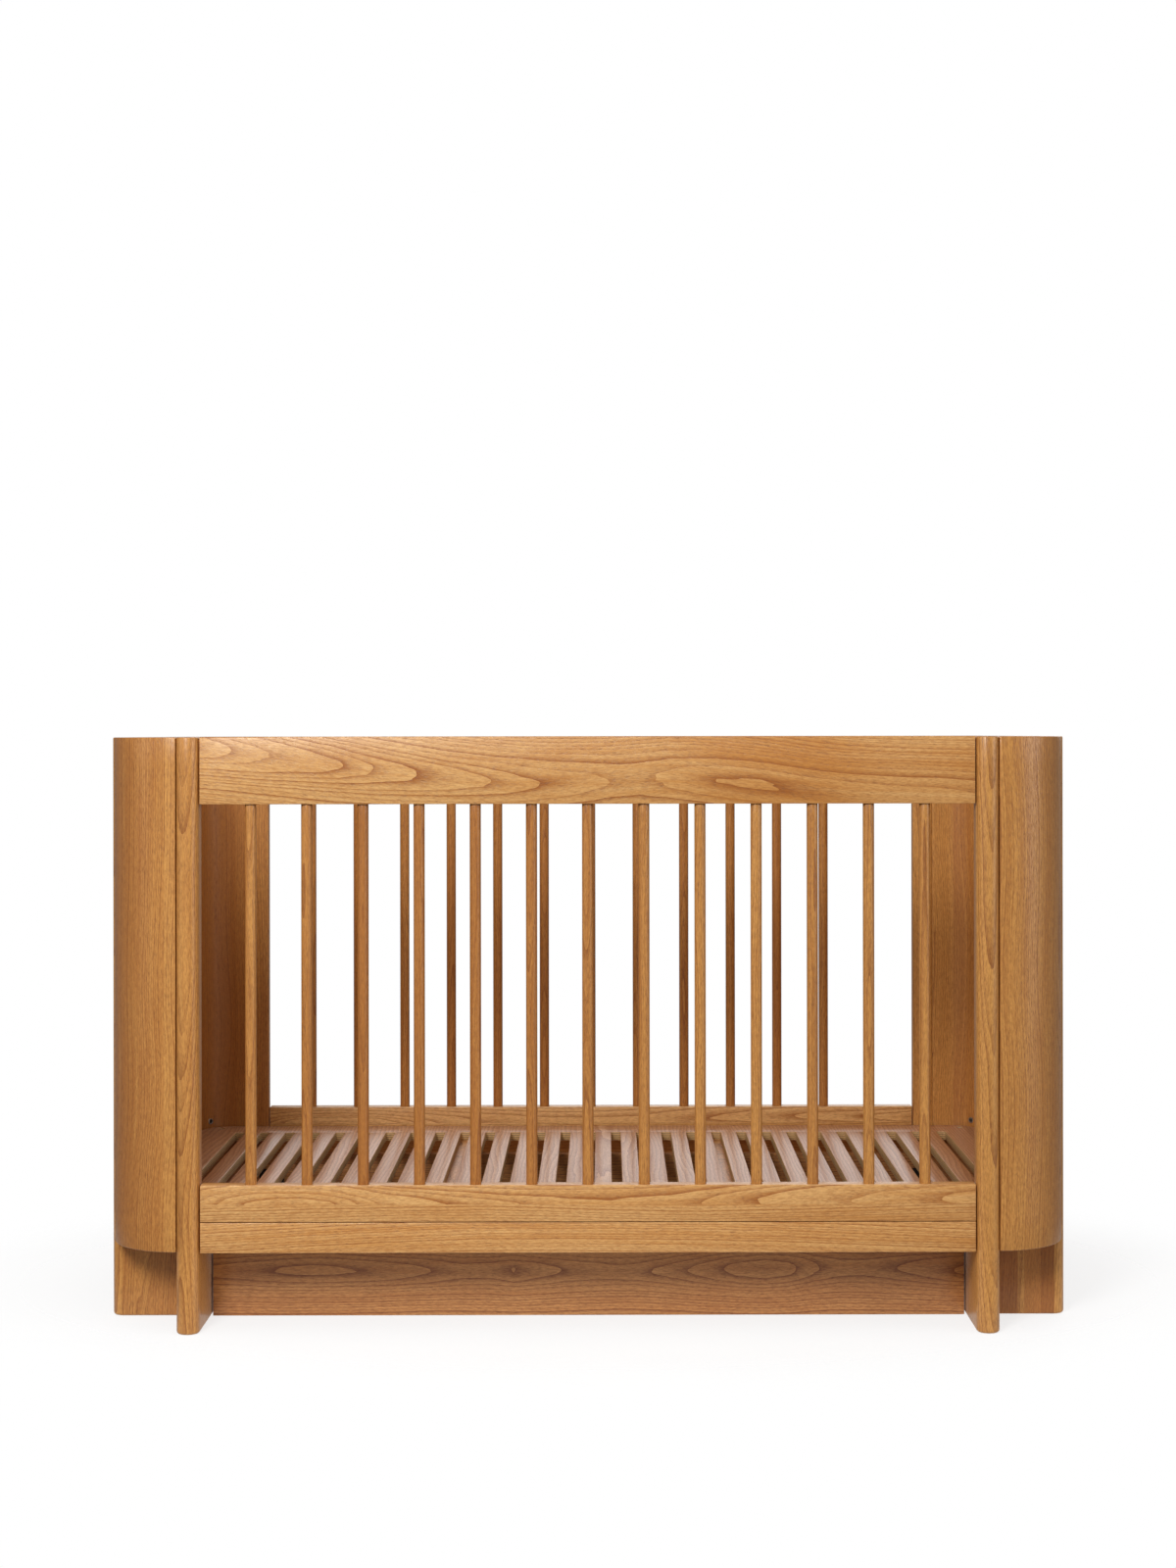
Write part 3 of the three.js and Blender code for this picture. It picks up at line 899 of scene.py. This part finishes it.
# ----------------------------------------------------------- mattress base
low, high = (Vector(c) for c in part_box("mattress_base"))
base = block("mattress_base_ply", low, high)
round_edges(base, upright, BASE_CORNER, 10)
slot = block(
    "slot",
    (-SLOT_WIDTH / 2, -SLOT_HALF_LENGTH, low.z - 0.01),
    (SLOT_WIDTH / 2, SLOT_HALF_LENGTH, high.z + 0.01),
)
round_edges(slot, upright, SLOT_CORNER, 4)
slot_places = [(i - (SLOT_COUNT - 1) / 2) * SLOT_PITCH for i in range(SLOT_COUNT)]
slots = [copied(slot, f"slot_{i}", move=(x, 0, 0)) for i, x in enumerate(slot_places)]
bpy.data.objects.remove(slot)
cut(base, joined(slots[0], slots[1:]))
soften(base, 0.7 * MM, 2, angle=50)
screw_foot, screw_top = (*SCREW_PLACE, high.z - SCREW_FOOT), (*SCREW_PLACE, high.z - SCREW_SUNK)
screw = rod("screw", screw_foot, screw_top, SCREW_RADIUS, ROUND_SIDES)
edit(screw, "faces", lambda f: f.normal.z > 0.9, lambda: (
    bpy.ops.mesh.inset(thickness=SCREW_RING),
    bpy.ops.mesh.extrude_region_move(TRANSFORM_OT_translate={"value": (0, 0, -SCREW_SOCKET)}),
))
soften(screw, 0.3 * MM, 2)
screw.data.materials.append(BRIGHT_STEEL)
recess_foot, recess_top = (*SCREW_PLACE, high.z - RECESS_REACH), (*SCREW_PLACE, high.z + RECESS_REACH)
recess = rod("recess", recess_foot, recess_top, RECESS_RADIUS, ROUND_SIDES)
FLIPS = [(flip_x, flip_y) for flip_x in (False, True) for flip_y in (False, True)]
for flip_x, flip_y in FLIPS:
    cut(base, copied(recess, "recess_copy", flip_x=flip_x, flip_y=flip_y))
bpy.data.objects.remove(recess)
lay(base, Y, X, Z, lambda far: (0.02, high.z - 0.045))
base.data.materials.append(PLY)
screws = [copied(screw, "screw_copy", flip_x=flip_x, flip_y=flip_y) for flip_x, flip_y in FLIPS]
bpy.data.objects.remove(screw)
joined(base, screws)
finish(base, PLY, "mattress_base")

# ---------------------------------------------------------------- brackets
low, high = (Vector(c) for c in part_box("front_right_bracket"))
bracket_model = block("bracket_model", low, (high.x, low.y + PLATE, high.z))
edit(bracket_model, "faces", lambda f: True, lambda: bpy.ops.mesh.bisect(
    plane_co=(high.x - PLATE, 0, 0), plane_no=(1, 0, 0)
))
flange = (0, high.y - low.y - PLATE, 0)
edit(
    bracket_model,
    "faces",
    lambda f: f.normal.y > 0.9 and f.calc_center_median().x > high.x - PLATE,
    lambda: bpy.ops.mesh.extrude_region_move(TRANSFORM_OT_translate={"value": flange}),
)
soften(bracket_model, 0.5 * MM, 2)
bracket_model.data.materials.append(BLACK_STEEL)
heads = []
for place in HEAD_PLACES:
    middle = Vector((low.x + (high.x - low.x) * place, low.y + PLATE, (low.z + high.z) / 2))
    back, front = middle - Vector((0, HEAD_BACK, 0)), middle + Vector((0, HEAD_PROUD, 0))
    head = rod("head", back, front, HEAD_RADIUS, HOLE_SIDES)
    edit(head, "faces", lambda f: f.normal.y > 0.9, lambda: (
        bpy.ops.mesh.inset(thickness=HEAD_RING),
        bpy.ops.mesh.extrude_region_move(TRANSFORM_OT_translate={"value": (0, -HEAD_SOCKET, 0)}),
    ))
    soften(head, 0.4 * MM, 2)
    head.data.materials.append(BRIGHT_STEEL)
    heads.append(head)
joined(bracket_model, heads)
for side, end, flip_x, flip_y in CORNERS:
    node = f"{side}_{end}_bracket"
    piece = copied(bracket_model, node + "_plate", flip_x=flip_x, flip_y=flip_y)
    finish(piece, BLACK_STEEL, node)
bpy.data.objects.remove(bracket_model)


# ------------------------------------------------- floor, light and camera
def floor_material():
    """A pale matt floor that fades into the backdrop away from the cot, with a painted shadow under the
    cot: there it is dark, does not glow and is less see-through.
    """
    s = Shader("pale_floor")
    spot = s.add("ShaderNodeTexCoord", None, None, output=3)
    mottle = s.noise(spot, (3, 3, 3), 2.0)
    away = s.vector("LENGTH", s.vector("MULTIPLY", spot, (0.62, 1, 0)), output=1)
    # Painted shadow mask: 0 under the cot, where the floor is painted dark, without its glow and more
    # opaque; 1 beyond it.
    outside_painted_shadow = s.vector("LENGTH", s.vector("MULTIPLY", spot, (0.40, 1, 0)), output=1).between(0.19, 0.27)
    painted_shadow = (0.05, 0.05, 0.05, 1)
    s.set(
        Base_Color=s.blend(outside_painted_shadow, painted_shadow, s.blend(mottle, (0.37, 0.37, 0.37, 1), (0.41, 0.41, 0.41, 1))),
        Emission_Color=s.blend(outside_painted_shadow, painted_shadow, (1, 1, 1, 1)),
        Roughness=0.9,
        Alpha=away.between(0.48, 0.78, 0.62, 0.0) + (1.0 - outside_painted_shadow) * 0.38,
    )
    s.surface.inputs["Emission Strength"].default_value = 0.62
    s.surface.inputs["Specular IOR Level"].default_value = 0.1
    return s.material


FLOOR_SIZE = 7
FLOOR_DROP = 0.4 * MM
clear_selection()
bpy.ops.mesh.primitive_plane_add(size=FLOOR_SIZE, location=(0, 0, -FLOOR_DROP))
floor = named("studio_floor")
floor.data.materials.append(floor_material())


def from_side(rise, swing):
    """The way to a light, from its height and side in degrees: swing 0 is the front, negative the left."""
    up, around = math.radians(rise), math.radians(swing)
    return Vector((math.sin(around) * math.cos(up), -math.cos(around) * math.cos(up), math.sin(up)))


SUN_DISTANCE = 4
KEY_AIM = Vector((0, -0.38, 0.45))


def sun(name, rise, swing, strength, softness):
    """Soft parallel light; softness is its width in degrees."""
    data = bpy.data.lights.new(name, "SUN")
    data.energy = strength
    data.angle = math.radians(softness)
    thing = bpy.data.objects.new(name, data)
    bpy.context.collection.objects.link(thing)
    source = from_side(rise, swing)
    thing.location = source * SUN_DISTANCE
    thing.rotation_euler = source.to_track_quat("Z", "Y").to_euler()


def softbox(name, rise, swing, distance, width, strength):
    """A round soft light that faces the cot, as strong as a sun of that strength."""
    data = bpy.data.lights.new(name, "AREA")
    data.shape = "DISK"
    data.size = width
    data.energy = strength * math.pi * distance ** 2
    thing = bpy.data.objects.new(name, data)
    bpy.context.collection.objects.link(thing)
    source = from_side(rise, swing)
    thing.location = KEY_AIM + source * distance
    thing.rotation_euler = source.to_track_quat("Z", "Y").to_euler()


softbox("key", 31, -20, 3.8, 1.2, 2.26)
sun("left_side", 12, -62, 0.22, 30)
sun("right_side", 12, 66, 0.74, 35)
sun("top", 75, 0, 0.9, 60)
sun("back", 25, 165, 0.7, 50)

# The backdrop is white to the camera and dimmer as a light
FILL_LIGHT = 0.20
world = bpy.data.worlds.new("studio")
bpy.context.scene.world = world
world.use_nodes = True
backdrop = world.node_tree.nodes["Background"]
rays = world.node_tree.nodes.new("ShaderNodeLightPath")
strength = world.node_tree.nodes.new("ShaderNodeMapRange")
strength.inputs["To Min"].default_value = FILL_LIGHT
strength.inputs["To Max"].default_value = 1.0
world.node_tree.links.new(rays.outputs["Is Camera Ray"], strength.inputs["Value"])
world.node_tree.links.new(strength.outputs[0], backdrop.inputs["Strength"])
backdrop.inputs["Color"].default_value = (1, 1, 1, 1)

view = bpy.context.scene.view_settings
view.view_transform = "Standard"
view.look = "None"

camera_data = bpy.data.cameras.new("camera")
camera_data.lens = 53.62
camera_data.sensor_width = 36
camera_data.shift_x = -0.01377
camera_data.shift_y = -0.03295
camera = bpy.data.objects.new("camera", camera_data)
bpy.context.collection.objects.link(camera)
camera.location = (0.0265, -3.903, 0.9069)
camera.rotation_euler = (math.radians(90), math.radians(0.081), math.radians(-0.113))
bpy.context.scene.camera = camera
